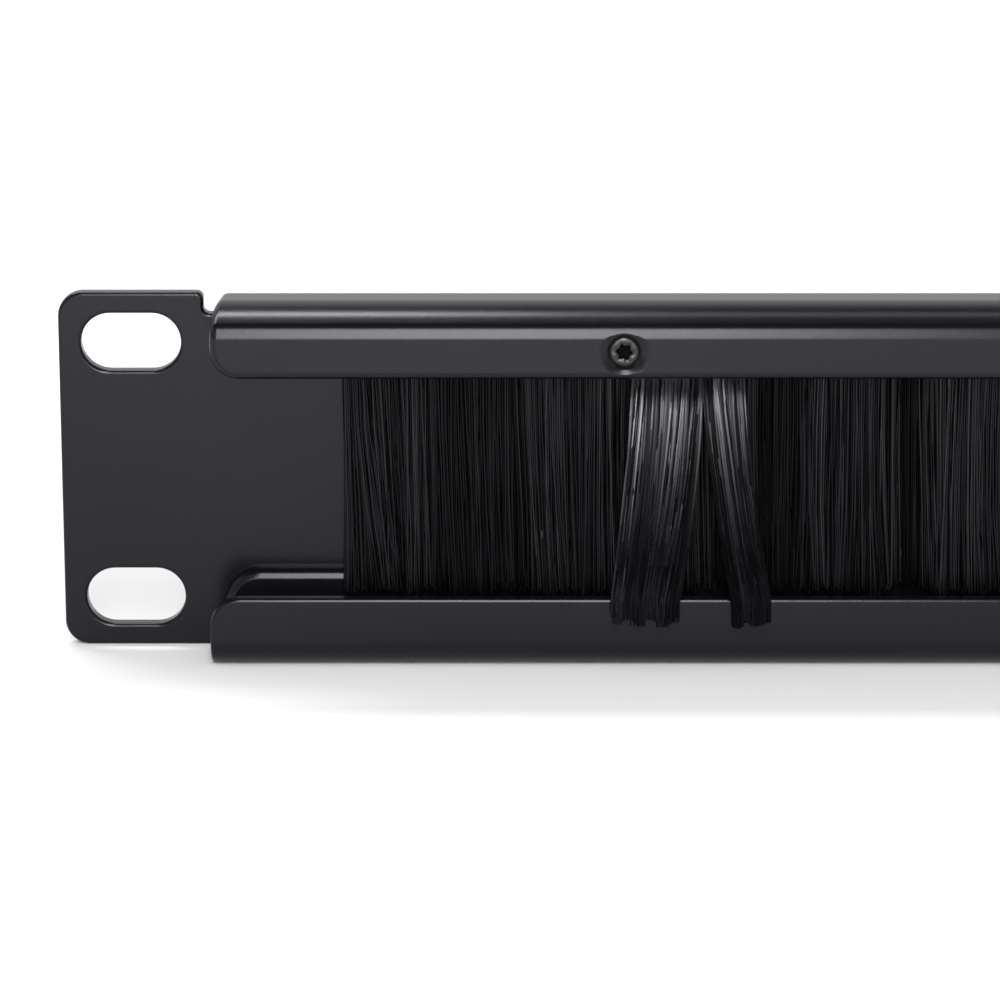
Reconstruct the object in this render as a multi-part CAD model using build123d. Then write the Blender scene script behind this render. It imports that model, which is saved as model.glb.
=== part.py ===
"""A 1U rack brush strip panel: a folded panel, a cable tray, and a screwed-on brush of bristle tufts.

Millimetres. X runs along the panel, Y into the rack and Z up. The origin is the centre of the four rack
slots on the rear face of the ears.
"""
from build123d import *
import math
import os

# Panel sheet
panel_width = 482.6
panel_height = 44.0
panel_sheet = 2.0
panel_depth = 12.5
ear_width = 18.9
ear_corner_r = 3.0
edge_break = 0.4

# Rack slots
slot_inset = 8.75
slot_pitch_z = 31.75
slot_length = 12.0
slot_width = 7.0

# Folds of the panel
rear_bend_r = 2.6
fold_flat = 1.0
# The front of the flange is crowned before it turns down into the return
crown_r = 9.5
crown_angle = 35.0
front_bend_r = 2.4
return_height = 8.5
return_corner_r = 3.5
hood_edge_break = 0.9
# The hood's ends draw in towards the rear, to clear the reliefs beside the fold
hood_end_slant = 1.0
relief_width = 1.3
relief_corner_r = 0.9
relief_root_r = 0.7

# Cable window in the back plate
window_side = 22.4
window_height = 23.6
window_center_z = 0.0
window_corner_r = 5.0

# Cable tray
tray_sheet = 1.8
tray_overhang = 0.45
tray_front_bend_r = 3.4
tray_rear_bend_r = 2.6
lip_height = 8.7
lip_corner_r = 3.6
leg_height = 10.0
leg_corner_r = 4.5
leg_round_r = 1.3
leg_inset = 1.15
leg_root = 3.2

# Brush holder, an extrusion behind the return
holder_end_gap = 13.6
holder_height = 5.9
holder_clearance = 0.3
holder_rear_wall = 1.5
holder_corner_r = 3.2
mouth_lip = 0.8
mouth_width = 3.2
strip_clearance = 0.1

# Strip channel and core wire
strip_width = 4.0
strip_height = 3.6
strip_wall = 0.5
brush_end_gap = 1.5
wire_d = 1.1

# Bristle tufts
tuft_pitch = 3.0
tuft_gap = 0.14
row_gap = 0.1
root_clearance = 0.12
tip_height = 8.0
tip_flare = 0.35
tip_wander = 0.55
tip_uneven = 0.7
# Two sine waves as their height, turn from tuft to tuft and turn from row to row
wander_waves = ((0.6, 2.4, 1.0), (0.4, 5.3, 2.1))

# A thin place in the front row, measured from the left end of the hood
sparse_stretch = (80.2, 84.8)

# Locks of bristles that hang over the lip, measured from the left end of the hood
left_lock_root = (50.2, 58.5)
left_lock_tip = (47.8, 55.5)
left_lock_tufts = 5
right_lock_root = (58.7, 63.6)
right_lock_tip = (62.4, 66.6)
right_lock_tufts = 3
lock_clearance = 0.35
lock_thickness = 2.3
lock_overhang = 2.6
lock_tip_lean = 0.65
lock_steps = 4
lock_bow_power = 0.6
lock_spread_power = 1.5

# Brush screws
screw_count = 4
screw_inset = 49.05
screw_above_edge = 3.3
screw_head_d = 3.5
screw_shank_d = 2.0
screw_end_gap = 0.2
recess_d = 2.0
recess_hollow_d = 1.45
lobe_count = 6
recess_depth = 0.8
seat_d = 4.1
shank_hole_d = 2.4
thread_clearance = 0.05
seat_clearance = 0.03
dimple_d = 5.4
dimple_depth = 0.3
cutter_overrun = 1.0

# Points closer than this count as being on a plane
touch = 0.01

# Widths that follow from the panel's, and the left end that the parted bristles are measured from
body_width = panel_width - 2 * ear_width
slot_pitch_x = panel_width - 2 * slot_inset
window_width = body_width - 2 * window_side
tray_width = body_width + 2 * tray_overhang
holder_width = body_width - 2 * holder_end_gap
brush_width = holder_width - 2 * brush_end_gap
left_end_x = -body_width / 2

# Heights and depths that several pieces share
top_z = panel_height / 2
foot_z = -panel_height / 2
front_y = -panel_depth
plate_front_y = -panel_sheet
return_rear_y = front_y + panel_sheet
return_bottom_z = top_z - return_height
lip_top_z = foot_z + lip_height
leg_top_z = foot_z + leg_height

# The holder hangs on the rear face of the return, under the flange
holder_front_y = return_rear_y
holder_rear_y = plate_front_y - holder_clearance
holder_top_z = top_z - panel_sheet - holder_clearance
holder_bottom_z = holder_top_z - holder_height

# The strip lies in the holder's cavity on the two lips of its mouth
strip_bottom_z = holder_bottom_z + mouth_lip + strip_clearance
strip_top_z = strip_bottom_z + strip_height
brush_y = holder_rear_y - holder_rear_wall - strip_clearance - strip_width / 2
wire_z = strip_top_z - strip_wall - wire_d / 2
root_z = wire_z - wire_d / 2 - root_clearance
tip_z = foot_z + tip_height

# Screws go through the return into the holder's front wall and end short of the strip
wall_rear_y = brush_y - strip_width / 2 - strip_clearance
screw_end_y = wall_rear_y - screw_end_gap
screw_z = return_bottom_z + screw_above_edge
screw_span = body_width - 2 * screw_inset
screw_xs = [-screw_span / 2 + i * screw_span / (screw_count - 1) for i in range(screw_count)]
seat_cone_depth = (seat_d - shank_hole_d) / 2
head_cone_depth = (screw_head_d - screw_shank_d) / 2
seat_y = front_y + dimple_depth
head_y = seat_y + (seat_d - screw_head_d) / 2 - seat_clearance


def along_x(section, length):
    """Stretches a section in the YZ plane evenly to both sides of the middle."""
    return extrude(section, amount=length / 2, both=True)


def sheet_section(start, heading, steps, sheet):
    """A section of folded sheet in the YZ plane, with its outer side first.

    Each step is (length, 0) for a flat or (outer radius, angle) for a bend to the left of the heading.
    """
    sides = []
    for depth in (0.0, sheet):
        at = Vector(*start) + depth * Vector(*heading).rotate(Axis.Z, 90)
        tangent = Vector(*heading)
        edges = []
        for size, angle in steps:
            if angle:
                edge = JernArc(at, tangent, size - depth, angle)
            else:
                edge = Line(at, at + size * tangent)
            edges.append(edge)
            at = edge @ 1
            tangent = edge % 1
        sides.append(edges)
    outside, inside = sides
    ends = [Line(outside[0] @ 0, inside[0] @ 0), Line(outside[-1] @ 1, inside[-1] @ 1)]
    return Plane.YZ * make_face([*outside, *inside, *ends])


def edges_at(solid, test):
    """The edges of a solid whose middle passes the test."""
    return ShapeList([e for e in solid.edges() if test(e @ 0.5)])


def plate_face():
    """The flat sheet seen from the front: ears, slots, cable window and the reliefs beside the fold."""
    body_half = body_width / 2
    relief_outer = body_half + relief_width
    outline = RectangleRounded(panel_width, panel_height, ear_corner_r)
    # The sheet leaves the flat at the start of the upper fold, a relief wider than the fold on each side
    cut_middle = Pos(0, top_z) * Rectangle(2 * relief_outer, 2 * rear_bend_r)
    face = outline - cut_middle
    corners = face.vertices().filter_by(lambda v: v.Y > top_z - touch)
    corners = corners.filter_by(lambda v: abs(abs(v.X) - relief_outer) < touch)
    face = fillet(corners, relief_corner_r)
    relief_z = top_z - rear_bend_r
    roots = face.vertices().filter_by(lambda v: abs(v.Y - relief_z) < touch)
    face = fillet(roots, relief_root_r)
    slot = SlotOverall(slot_length, slot_width)
    for sx in (-1, 1):
        for sz in (-1, 1):
            face -= Pos(sx * slot_pitch_x / 2, sz * slot_pitch_z / 2) * slot
    window = RectangleRounded(window_width, window_height, window_corner_r)
    return face - Pos(0, window_center_z) * window


def main_panel():
    """The folded panel: back plate with ears, top flange, and the return in front of the brush."""
    plate = extrude(Plane.XZ * plate_face(), amount=panel_sheet)
    # The outline of the ears and the slots is broken on the front, where it catches the light
    ear_inner_x = body_width / 2 + relief_width
    front_edges = edges_at(
        plate,
        lambda p: abs(p.Y - plate_front_y) < touch
        and (abs(p.X) > ear_inner_x - touch or p.Z < foot_z + touch),
    )
    plate = chamfer(front_edges, edge_break)
    hood = folded_hood()
    for x in screw_xs:
        hood -= Pos(x, 0, screw_z) * screw_seat()
    return plate + hood


def folded_hood():
    """The upper fold with the crowned flange and the return, without its screw seats."""
    turn = math.radians(crown_angle)
    crown_reach = crown_r * math.sin(turn) + front_bend_r * (1 - math.sin(turn))
    crown_drop = crown_r * (1 - math.cos(turn)) + front_bend_r * math.cos(turn)
    # A short flat stretch of the section lies in the plate below the fold
    steps = [
        (fold_flat, 0),
        (rear_bend_r, 90),
        (panel_depth - rear_bend_r - crown_reach, 0),
        (crown_r, crown_angle),
        (front_bend_r, 90 - crown_angle),
        (return_height - crown_drop, 0),
    ]
    section = sheet_section((0, top_z - rear_bend_r - fold_flat), (0, 1), steps, panel_sheet)
    half = body_width / 2
    plan = Polyline(
        (-half, front_y), (half, front_y), (half - hood_end_slant, 0), (-half + hood_end_slant, 0), close=True
    )
    hood = along_x(section, body_width) & extrude(make_face(plan), amount=panel_height, both=True)
    free_corners = edges_at(
        hood, lambda p: abs(p.Z - return_bottom_z) < touch and abs(p.X) > half - hood_end_slant
    )
    hood = fillet(free_corners, return_corner_r)
    # The break starts on the return's lower edge and runs on round both ends
    lower_edge = edges_at(hood, lambda p: p.Y < front_y + touch and p.Z < return_bottom_z + touch)
    return chamfer(lower_edge, hood_edge_break)


def screw_seat():
    """The dimple, countersink and hole for one screw, as a turned cutter on the screw's axis."""
    dimple_r = dimple_d / 2
    cone_end_y = seat_y + seat_cone_depth
    profile = Polyline(
        (0, front_y - cutter_overrun),
        (dimple_r + dimple_depth, front_y - cutter_overrun),
        (dimple_r, front_y),
        (seat_d / 2, seat_y),
        (shank_hole_d / 2, cone_end_y),
        (shank_hole_d / 2, return_rear_y + cutter_overrun),
        (0, return_rear_y + cutter_overrun),
        close=True,
    )
    return revolve(make_face(profile), Axis.Y)


def cable_tray():
    """The U-shaped rail at the foot of the plate, with a front lip and a rounded rear leg."""
    leg_root_z = foot_z + leg_root
    leg_front_y = plate_front_y - tray_sheet
    lip_rear_y = front_y + tray_sheet
    steps = [
        (lip_height - tray_front_bend_r, 0),
        (tray_front_bend_r, 90),
        (panel_depth - panel_sheet - tray_front_bend_r - tray_rear_bend_r, 0),
        (tray_rear_bend_r, 90),
        (leg_root - tray_rear_bend_r, 0),
    ]
    rail = along_x(sheet_section((front_y, lip_top_z), (0, -1), steps, tray_sheet), tray_width)
    lip_corners = rail.edges().filter_by(Axis.Y)
    rail = fillet(lip_corners.filter_by(lambda e: (e @ 0.5).Z > lip_top_z - touch), lip_corner_r)
    lip_edges = edges_at(
        rail,
        lambda p: p.Y < lip_rear_y + touch
        and (p.Z > lip_top_z - lip_corner_r or abs(p.X) > tray_width / 2 - touch),
    )
    rail = chamfer(lip_edges, edge_break)
    # The upper leg is a hair narrower than the rail, and its front edge is rounded past both corners
    leg_length = leg_top_z - leg_root_z
    leg_middle = Pos(0, plate_front_y - tray_sheet / 2, leg_root_z + leg_length / 2)
    leg = leg_middle * Box(tray_width - 2 * leg_inset, tray_sheet, leg_length)
    leg_corners = leg.edges().filter_by(Axis.Y)
    leg = fillet(leg_corners.filter_by(lambda e: (e @ 0.5).Z > leg_top_z - touch), leg_corner_r)
    leg_edges = edges_at(leg, lambda p: abs(p.Y - leg_front_y) < touch and p.Z > leg_top_z - touch)
    return rail + fillet(leg_edges, leg_round_r)


def brush_holder():
    """The extrusion that the screws pull against the return, with a slot that grips the strip channel."""
    middle_z = (holder_top_z + holder_bottom_z) / 2
    middle_y = (holder_front_y + holder_rear_y) / 2
    section = Pos(middle_y, middle_z) * Rectangle(holder_rear_y - holder_front_y, holder_height)
    corners = section.vertices()
    # The upper front corner clears the inside of the crowned flange
    fold_corner = corners.filter_by(lambda v: v.X < middle_y and v.Y > middle_z)
    section = fillet(fold_corner, holder_corner_r)
    cavity_bottom = holder_bottom_z + mouth_lip
    cavity_height = strip_height + 2 * strip_clearance
    cavity = Rectangle(strip_width + 2 * strip_clearance, cavity_height)
    section -= Pos(brush_y, cavity_bottom + cavity_height / 2) * cavity
    section -= Pos(brush_y, holder_bottom_z) * Rectangle(mouth_width, 2 * (mouth_lip + strip_clearance))
    holder = along_x(Plane.YZ * section, holder_width)
    thread_r = screw_shank_d / 2 + thread_clearance
    front_wall = wall_rear_y - holder_front_y
    for x in screw_xs:
        hole = Cylinder(thread_r, front_wall, rotation=(90, 0, 0))
        holder -= Pos(x, holder_front_y + front_wall / 2, screw_z) * hole
    return holder


def strip_channel():
    """The crimped channel, open below, that holds the folded tufts."""
    middle_z = (strip_top_z + strip_bottom_z) / 2
    section = Pos(brush_y, middle_z) * RectangleRounded(strip_width, strip_height, strip_wall)
    inside_width = strip_width - 2 * strip_wall
    inside_height = strip_height - strip_wall
    section -= Pos(brush_y, strip_bottom_z + inside_height / 2) * Rectangle(inside_width, inside_height)
    return along_x(Plane.YZ * section, brush_width)


def core_wire():
    """The wire that the tufts are folded over."""
    section = Pos(brush_y, wire_z) * Circle(wire_d / 2)
    return along_x(Plane.YZ * section, brush_width)


def tuft(stations):
    """One flat-sided tuft through rectangles given as (x0, x1, y0, y1, z) from root to tip."""
    rings = []
    for x0, x1, y0, y1, z in stations:
        rings.append([(x0, y0, z), (x1, y0, z), (x1, y1, z), (x0, y1, z)])
    outlines = [rings[0], rings[-1]]
    for upper, lower in zip(rings, rings[1:]):
        for i, j in ((0, 1), (1, 2), (2, 3), (3, 0)):
            outlines.append([upper[i], upper[j], lower[j], lower[i]])
    return Solid(Shell([Face(Wire.make_polygon(points)) for points in outlines]))


def wander(index, row):
    """A fixed uneven number between about -1 and 1 for each tuft of a row."""
    return sum(high * math.sin(per_tuft * index + per_row * row) for high, per_tuft, per_row in wander_waves)


def row_depth(row):
    """The front and rear faces of a row at its root: row -1 is in front, row 1 behind."""
    near = row * row_gap / 2
    far = row * (strip_width / 2 - strip_wall - root_clearance)
    return brush_y + min(near, far), brush_y + max(near, far)


def from_left_end(stretch):
    """The place along X of a stretch that is measured from the left end of the hood."""
    return left_end_x + stretch[0], left_end_x + stretch[1]


def bristle_row(row, skipped):
    """A row of tufts along the strip, without those that reach into a skipped stretch."""
    y0, y1 = row_depth(row)
    flare = (min(row, 0) * tip_flare, max(row, 0) * tip_flare)
    count = math.floor(brush_width / tuft_pitch)
    first_x = -count * tuft_pitch / 2
    tufts = []
    for i in range(count):
        root_0 = first_x + i * tuft_pitch
        root_1 = root_0 + tuft_pitch
        if any(root_1 > start and root_0 < end for start, end in map(from_left_end, skipped)):
            continue
        # Neighbours share a wandering border at the tip, so they fan out without crossing
        tip_0 = root_0 + (tip_wander * wander(i, row) if i > 0 else 0)
        tip_1 = root_1 + (tip_wander * wander(i + 1, row) if i < count - 1 else 0)
        end_z = tip_z + tip_uneven * wander(i + 0.5, row)
        half_gap = tuft_gap / 2
        tufts.append(tuft([
            (root_0 + half_gap, root_1 - half_gap, y0, y1, root_z),
            (tip_0 + half_gap, tip_1 - half_gap, y0 + flare[0], y1 + flare[1], end_z),
        ]))
    return Compound(tufts)


def lock(root, tip, count):
    """A lock of the front row that is drawn forward and hooked over the lip, as a few thick tufts."""
    root = from_left_end(root)
    tip = from_left_end(tip)
    y0, y1 = row_depth(-1)
    root_thickness = y1 - y0
    # The rear of the lock clears the front edge of the lip and then hangs a little in front of it
    over_lip_y = front_y - lock_clearance
    exit_z = holder_bottom_z - mouth_lip
    drop = exit_z - lip_top_z
    hang_z = lip_top_z - lock_overhang
    half_gap = tuft_gap / 2
    tufts = []
    for i in range(count):
        # Stations down the lock, as its share of the bow, its rear face, its thickness and its height
        stations = [(0.0, y1, root_thickness, root_z), (0.0, y1, root_thickness, exit_z)]
        for step in range(1, lock_steps + 1):
            share = step / lock_steps
            rear = y1 + (over_lip_y - y1) * share ** lock_bow_power
            thickness = root_thickness + (lock_thickness - root_thickness) * share
            stations.append((share, rear, thickness, exit_z - drop * share))
        tip_rear = over_lip_y - lock_tip_lean
        stations.append((1.0, tip_rear, root_thickness, hang_z + tip_uneven * wander(i, 3)))
        sections = []
        for share, rear, thickness, z in stations:
            spread = share ** lock_spread_power
            start = root[0] + (tip[0] - root[0]) * spread
            end = root[1] + (tip[1] - root[1]) * spread
            width = (end - start) / count
            left = start + i * width
            sections.append((left + half_gap, left + width - half_gap, rear - thickness, rear, z))
        tufts.append(tuft(sections))
    return Compound(tufts)


def recess_face():
    """The six-lobe recess as a star, with one point on each lobe and one in each hollow."""
    points = []
    for i in range(2 * lobe_count):
        r = recess_hollow_d / 2 if i % 2 else recess_d / 2
        angle = math.pi * i / lobe_count
        points.append((r * math.sin(angle), r * math.cos(angle)))
    return make_face(Polyline(*points, close=True))


def brush_screw(x):
    """One countersunk screw with a six-lobe recess, its axis along Y."""
    head_r = screw_head_d / 2
    shank_r = screw_shank_d / 2
    profile = Polyline(
        (0, head_y),
        (head_r, head_y),
        (shank_r, head_y + head_cone_depth),
        (shank_r, screw_end_y),
        (0, screw_end_y),
        close=True,
    )
    screw = revolve(make_face(profile), Axis.Y)
    cutter = extrude(Plane.XZ * recess_face(), amount=recess_depth, both=True)
    return Pos(x, 0, screw_z) * (screw - Pos(0, head_y, 0) * cutter)


def build_nodes():
    """Every piece of the assembly by name."""
    parted = [left_lock_root, right_lock_root, sparse_stretch]
    nodes = {
        "main_panel": main_panel(),
        "cable_tray": cable_tray(),
        "brush_holder": brush_holder(),
        "strip_channel": strip_channel(),
        "core_wire": core_wire(),
        "front_bristles": bristle_row(-1, parted),
        "rear_bristles": bristle_row(1, []),
        "left_lock": lock(left_lock_root, left_lock_tip, left_lock_tufts),
        "right_lock": lock(right_lock_root, right_lock_tip, right_lock_tufts),
    }
    for number, x in enumerate(screw_xs, start=1):
        nodes[f"brush_screw_{number}"] = brush_screw(x)
    return nodes


def main():
    os.makedirs("parts", exist_ok=True)
    for name, shape in build_nodes().items():
        export_step(shape, f"parts/{name}.step")


main()
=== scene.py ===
"""Looks of the rack brush strip panel: coated sheet, screws and bristles grown from node trees."""

import math

import bmesh
import bpy
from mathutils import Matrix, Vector


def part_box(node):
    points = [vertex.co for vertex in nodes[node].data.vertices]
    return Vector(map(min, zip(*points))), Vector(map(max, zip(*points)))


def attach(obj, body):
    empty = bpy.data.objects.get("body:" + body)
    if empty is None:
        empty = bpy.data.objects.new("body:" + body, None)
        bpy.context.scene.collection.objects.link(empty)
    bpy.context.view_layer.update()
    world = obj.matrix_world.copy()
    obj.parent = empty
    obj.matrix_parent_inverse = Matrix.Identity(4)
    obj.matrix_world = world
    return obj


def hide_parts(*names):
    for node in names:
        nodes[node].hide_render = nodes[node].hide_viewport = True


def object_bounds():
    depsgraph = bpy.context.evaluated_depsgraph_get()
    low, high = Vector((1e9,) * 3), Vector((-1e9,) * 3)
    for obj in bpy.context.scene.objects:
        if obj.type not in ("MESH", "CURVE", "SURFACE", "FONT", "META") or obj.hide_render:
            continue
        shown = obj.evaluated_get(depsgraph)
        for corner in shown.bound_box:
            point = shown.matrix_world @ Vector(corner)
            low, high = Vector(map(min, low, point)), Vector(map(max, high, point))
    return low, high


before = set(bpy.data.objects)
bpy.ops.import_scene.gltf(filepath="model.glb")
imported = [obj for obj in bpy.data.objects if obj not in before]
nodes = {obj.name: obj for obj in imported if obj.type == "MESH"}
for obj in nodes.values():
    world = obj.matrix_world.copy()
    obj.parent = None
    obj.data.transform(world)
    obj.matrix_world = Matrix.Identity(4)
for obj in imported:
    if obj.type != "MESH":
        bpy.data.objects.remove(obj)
cad_low, cad_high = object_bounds()
MM = 0.001


# Helpers for objects and node trees

FLOAT = "NodeSocketFloat"


def new_object(name, data):
    """An object that is linked to the scene."""
    thing = bpy.data.objects.new(name, data)
    bpy.context.scene.collection.objects.link(thing)
    return thing


def empty_tree(owner):
    """The node tree of a material or a world, turned on and emptied."""
    owner.use_nodes = True
    owner.node_tree.nodes.clear()
    return owner.node_tree


def add_node(tree, kind, values=None, **settings):
    """A node with its properties set, and its input sockets by name or number."""
    node = tree.nodes.new(kind)
    for key, value in settings.items():
        setattr(node, key, value)
    for key, value in (values or {}).items():
        node.inputs[key].default_value = value
    return node


def join(tree, source, target, key=0):
    """Links an output socket, or a node's first output, to an input of a node."""
    socket = source if isinstance(source, bpy.types.NodeSocket) else source.outputs[0]
    tree.links.new(socket, target.inputs[key])
    return target


def feed(tree, value, node, key):
    """Sets an input of a node to a number, or links a socket to it."""
    if isinstance(value, (int, float)):
        node.inputs[key].default_value = value
    else:
        join(tree, value, node, key)


def math_node(tree, operation, first, second=None, clamp=False):
    """A math node on sockets or numbers."""
    node = add_node(tree, "ShaderNodeMath", operation=operation, use_clamp=clamp)
    for index, value in enumerate((first, second)):
        if value is not None:
            feed(tree, value, node, index)
    return node.outputs[0]


def map_range(tree, value, source, target=(0.0, 1.0), smooth=False):
    """A value carried from one range to another and held at its ends."""
    node = add_node(tree, "ShaderNodeMapRange")
    for key, level in zip(("From Min", "From Max", "To Min", "To Max"), (*source, *target)):
        node.inputs[key].default_value = level
    if smooth:
        node.interpolation_type = "SMOOTHSTEP"
    join(tree, value, node, "Value")
    return node.outputs["Result"]


def new_group(name, tree_type, inputs, outputs):
    """A node group with its interface. Inputs and outputs are (name, socket type, default)."""
    group = bpy.data.node_groups.new(name, tree_type)
    for title, kind, default in inputs:
        socket = group.interface.new_socket(title, in_out="INPUT", socket_type=kind)
        if default is not None:
            socket.default_value = default
    for title, kind in outputs:
        group.interface.new_socket(title, in_out="OUTPUT", socket_type=kind)
    return group, group.nodes.new("NodeGroupInput"), group.nodes.new("NodeGroupOutput")


# Materials

def grain_group():
    """Fine orange-peel grain of a powder coat, with slow changes of its gloss."""
    inputs = [("Grain Size", FLOAT, 0.00035), ("Grain Height", FLOAT, 0.00001)]
    outputs = [("Shade", FLOAT), ("Gloss", FLOAT), ("Normal", "NodeSocketVector")]
    group, given, out = new_group("Coat Grain", "ShaderNodeTree", inputs, outputs)
    place = add_node(group, "ShaderNodeTexCoord").outputs["Object"]
    scale = math_node(group, "DIVIDE", 1.0, given.outputs["Grain Size"])
    fine = add_node(group, "ShaderNodeTexNoise", {"Detail": 3.0, "Roughness": 0.6})
    join(group, place, fine, "Vector")
    join(group, scale, fine, "Scale")
    slow = add_node(group, "ShaderNodeTexNoise", {"Scale": 60.0, "Detail": 4.0, "Roughness": 0.65})
    join(group, place, slow, "Vector")
    bump = add_node(group, "ShaderNodeBump", {"Strength": 1.0})
    join(group, given.outputs["Grain Height"], bump, "Distance")
    join(group, fine.outputs["Fac"], bump, "Height")
    both = math_node(group, "ADD", fine.outputs["Fac"], slow.outputs["Fac"])
    join(group, math_node(group, "MULTIPLY", both, 0.5), out, "Shade")
    join(group, slow.outputs["Fac"], out, "Gloss")
    join(group, bump, out, "Normal")
    return group


def ramp_between(tree, factor, low, high):
    """A value that runs between two levels with a factor from 0 to 1."""
    return map_range(tree, factor, (0.0, 1.0), (low, high))


def colour_between(tree, factor, low, high):
    """A colour that runs between two colours with a factor from 0 to 1."""
    node = add_node(tree, "ShaderNodeMix", data_type="RGBA")
    node.inputs["A"].default_value = (*low, 1.0)
    node.inputs["B"].default_value = (*high, 1.0)
    tree.links.new(factor, node.inputs["Factor"])
    return node.outputs["Result"]


def new_material(name):
    """A material with an empty tree, its output and a principled shader joined to it."""
    material = bpy.data.materials.new(name)
    tree = empty_tree(material)
    shader = add_node(tree, "ShaderNodeBsdfPrincipled")
    out = add_node(tree, "ShaderNodeOutputMaterial")
    join(tree, shader.outputs["BSDF"], out, "Surface")
    return material, tree, shader


def grained_material(name, grain, size, height, dark, light, rough, metallic=0.0):
    """A finish with the shared grain: two colours and two roughness levels that the grain mixes."""
    material, tree, shader = new_material(name)
    effect = add_node(tree, "ShaderNodeGroup", node_tree=grain)
    effect.inputs["Grain Size"].default_value = size
    effect.inputs["Grain Height"].default_value = height
    join(tree, colour_between(tree, effect.outputs["Shade"], dark, light), shader, "Base Color")
    join(tree, ramp_between(tree, effect.outputs["Gloss"], *rough), shader, "Roughness")
    join(tree, effect.outputs["Normal"], shader, "Normal")
    shader.inputs["Metallic"].default_value = metallic
    return material


def bristle_material():
    """Black nylon whose tone, gloss and specular level change from strand to strand, with a painted sheen:
    a lock's specular level is raised on its upper bend, a painted highlight on top of the lamps' glints,
    and lowered further down, a painted shade.
    """
    dark = (0.0015, 0.0015, 0.0018)
    light = (0.009, 0.009, 0.0105)
    rough = (0.2, 0.36)
    # Specular level from dull to bright, and what a painted sheen of 1 multiplies it by
    specular = (0.03, 0.42)
    painted_sheen_gain = 4.5
    material, tree, shader = new_material("Bristle Nylon")
    own, clump, painted_sheen = (
        add_node(tree, "ShaderNodeAttribute", attribute_name=name).outputs["Fac"]
        for name in ("strand", "clump", "painted_sheen")
    )
    tone = math_node(tree, "MULTIPLY", own, clump)
    # Painted highlight and shade: the painted sheen multiplies the specular level up on a lock's upper bend
    # and down below it
    gain = math_node(tree, "POWER", painted_sheen_gain, painted_sheen)
    plain = ramp_between(tree, tone, *specular)
    join(tree, colour_between(tree, tone, dark, light), shader, "Base Color")
    join(tree, ramp_between(tree, own, *rough), shader, "Roughness")
    join(tree, math_node(tree, "MULTIPLY", plain, gain, clamp=True), shader, "Specular IOR Level")
    shader.inputs["Specular Tint"].default_value = (0.94, 0.93, 1.0, 1.0)
    return material


def coat_material(grain):
    """Satin black powder coat with a faintly blue shine."""
    material = grained_material(
        "Black Coat", grain, size=0.0004, height=0.000008,
        dark=(0.0022, 0.0023, 0.0030), light=(0.0046, 0.0048, 0.0060), rough=(0.19, 0.25),
    )
    shader = material.node_tree.nodes["Principled BSDF"]
    shader.inputs["Specular IOR Level"].default_value = 0.27
    shader.inputs["Specular Tint"].default_value = (0.91, 0.90, 1.0, 1.0)
    return material


def screw_material(grain):
    """Black oxide steel with a painted shade in the depth of the recess, where the specular level falls to
    nothing.
    """
    material = grained_material(
        "Screw Black", grain, size=0.0003, height=0.000004,
        dark=(0.002, 0.002, 0.0022), light=(0.006, 0.006, 0.0066), rough=(0.22, 0.32),
    )
    tree = material.node_tree
    # Painted shade: the specular level falls from 0.44 to nothing over the marked points of the recess
    recess_painted_shade = add_node(tree, "ShaderNodeAttribute", attribute_name="recess_painted_shade").outputs["Fac"]
    join(tree, ramp_between(tree, recess_painted_shade, 0.44, 0.0), tree.nodes["Principled BSDF"], "Specular IOR Level")
    return material


grain = grain_group()
coat = coat_material(grain)
holder_metal = grained_material(
    "Holder Aluminium", grain, size=0.0012, height=0.000004,
    dark=(0.40, 0.40, 0.41), light=(0.55, 0.55, 0.56), rough=(0.32, 0.5), metallic=1.0,
)
strip_metal = grained_material(
    "Strip Steel", grain, size=0.0008, height=0.000005,
    dark=(0.42, 0.42, 0.43), light=(0.6, 0.6, 0.61), rough=(0.28, 0.42), metallic=1.0,
)
screw_metal = screw_material(grain)
nylon = bristle_material()


# Smooth shading, and the hidden pieces as shaded copies of the CAD meshes

# Faces whose normals agree better than this belong to one flat stretch
FLAT_COSINE = math.cos(math.radians(0.5))
# Edges that turn by more degrees than this stay sharp
SHARP_DEGREES = 50
HOLDER_SHARP_DEGREES = 35
# Points of a CAD mesh that are nearer than this are one
MERGE_WITHIN = 0.001 * MM


def flat_regions(work):
    """Numbers the faces by the flat stretch that they belong to, and gives each stretch's area."""
    region = {}
    areas = []
    for first in work.faces:
        if first in region:
            continue
        number = len(areas)
        areas.append(0.0)
        region[first] = number
        waiting = [first]
        while waiting:
            face = waiting.pop()
            areas[number] += face.calc_area()
            for edge in face.edges:
                for other in edge.link_faces:
                    if other not in region and face.normal.dot(other.normal) > FLAT_COSINE:
                        region[other] = number
                        waiting.append(other)
    return region, areas


def corner_normals(work, sharp_angle):
    """A normal for each face corner, from the largest flat stretch that it meets before a sharp edge."""
    region, areas = flat_regions(work)
    normals = {}
    for vert in work.verts:
        left = set(vert.link_faces)
        while left:
            fan = [left.pop()]
            for face in fan:
                for edge in face.edges:
                    if vert not in edge.verts or edge.calc_face_angle(math.pi) > sharp_angle:
                        continue
                    for other in edge.link_faces:
                        if other in left:
                            left.remove(other)
                            fan.append(other)
            stretches = {region[face]: face.normal for face in fan}
            total = Vector((0.0, 0.0, 0.0))
            for number, normal in stretches.items():
                total += normal * areas[number] ** 2
            for face in fan:
                normals[face.index, vert.index] = total.normalized()
    return normals


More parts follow.
